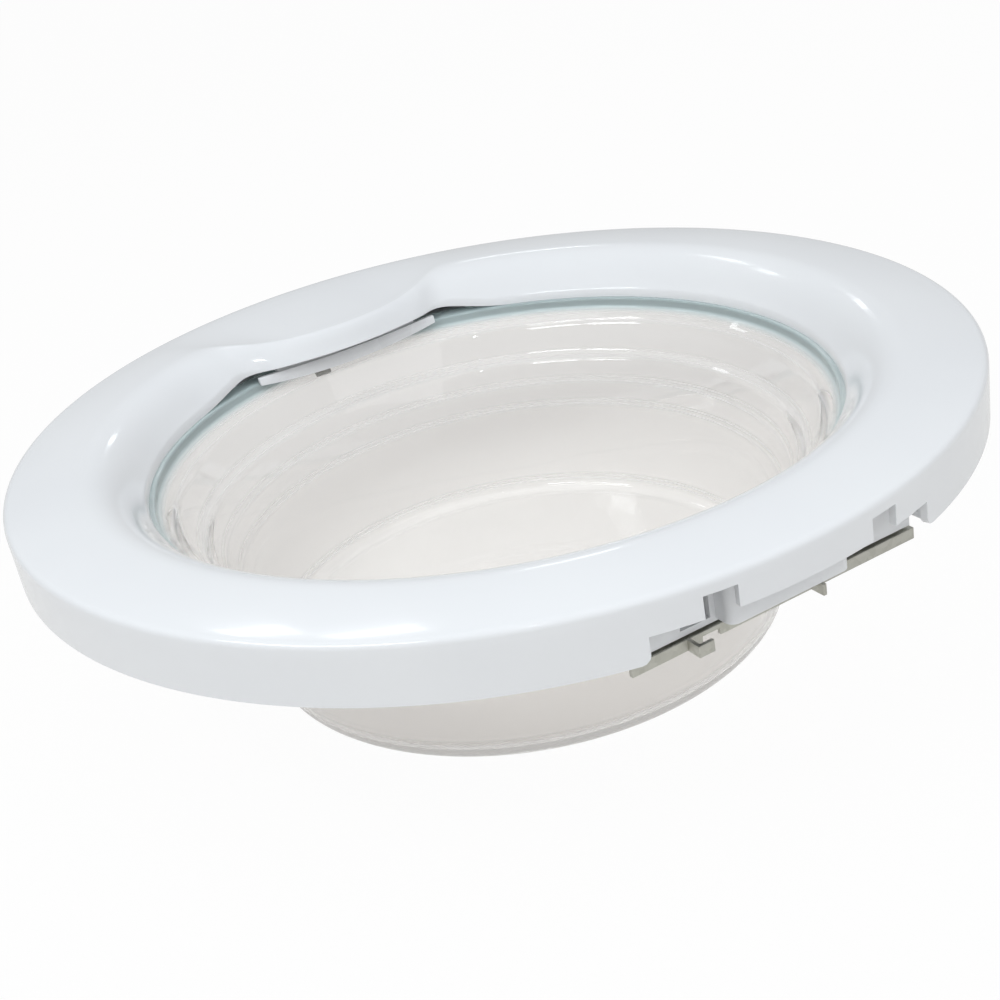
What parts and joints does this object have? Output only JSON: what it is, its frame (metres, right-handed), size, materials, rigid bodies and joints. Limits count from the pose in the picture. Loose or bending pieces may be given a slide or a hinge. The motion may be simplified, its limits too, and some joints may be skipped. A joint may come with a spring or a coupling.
{
  "type": "washing machine door",
  "caption": "Round front-loader washing machine door with a white frame, a deep clear glass bowl, a pull lever with latch hook under a grip tongue and a steel hinge plate.",
  "frame": {"origin": "centre of the bowl's flat foot, on which the door lies face up", "axes": "+Z along the bowl's axis to the door's front, +X to the hinge side, -X to the handle, +Y along the hinge line"},
  "size_m": [0.45, 0.45, 0.1262],
  "materials": {
    "white_gloss": "gloss white moulded plastic",
    "white_satin": "satin white moulded plastic",
    "clear_glass": "clear pressed glass with a slight green tint",
    "zinc_casting": "plain grey zinc casting",
    "bright_steel": "zinc plated steel",
    "galvanised_sheet": "galvanised steel sheet"
  },
  "bodies": {
    "door": {"outer_frame": "white_gloss", "inner_frame": "white_satin", "glass_bowl": "clear_glass", "handle_pin": "bright_steel", "return_spring": "bright_steel", "hinge_plate": "galvanised_sheet", "hinge_plate_screws": "bright_steel", "frame_screws": "bright_steel"},
    "handle": {"handle_lever": "white_satin", "latch_hook": "zinc_casting"}
  },
  "joints": [
    {"name": "handle_pull", "type": "hinge", "parent": "door", "child": "handle", "pos_m": [-0.18196, -0.00381, 0.108], "axis": [0.0209, -0.9998, 0], "range_deg": [0, 4.5], "stiffness_Nm_per_rad": 0.6, "springref_deg": -5.73, "deforming": ["return_spring"]}
  ]
}
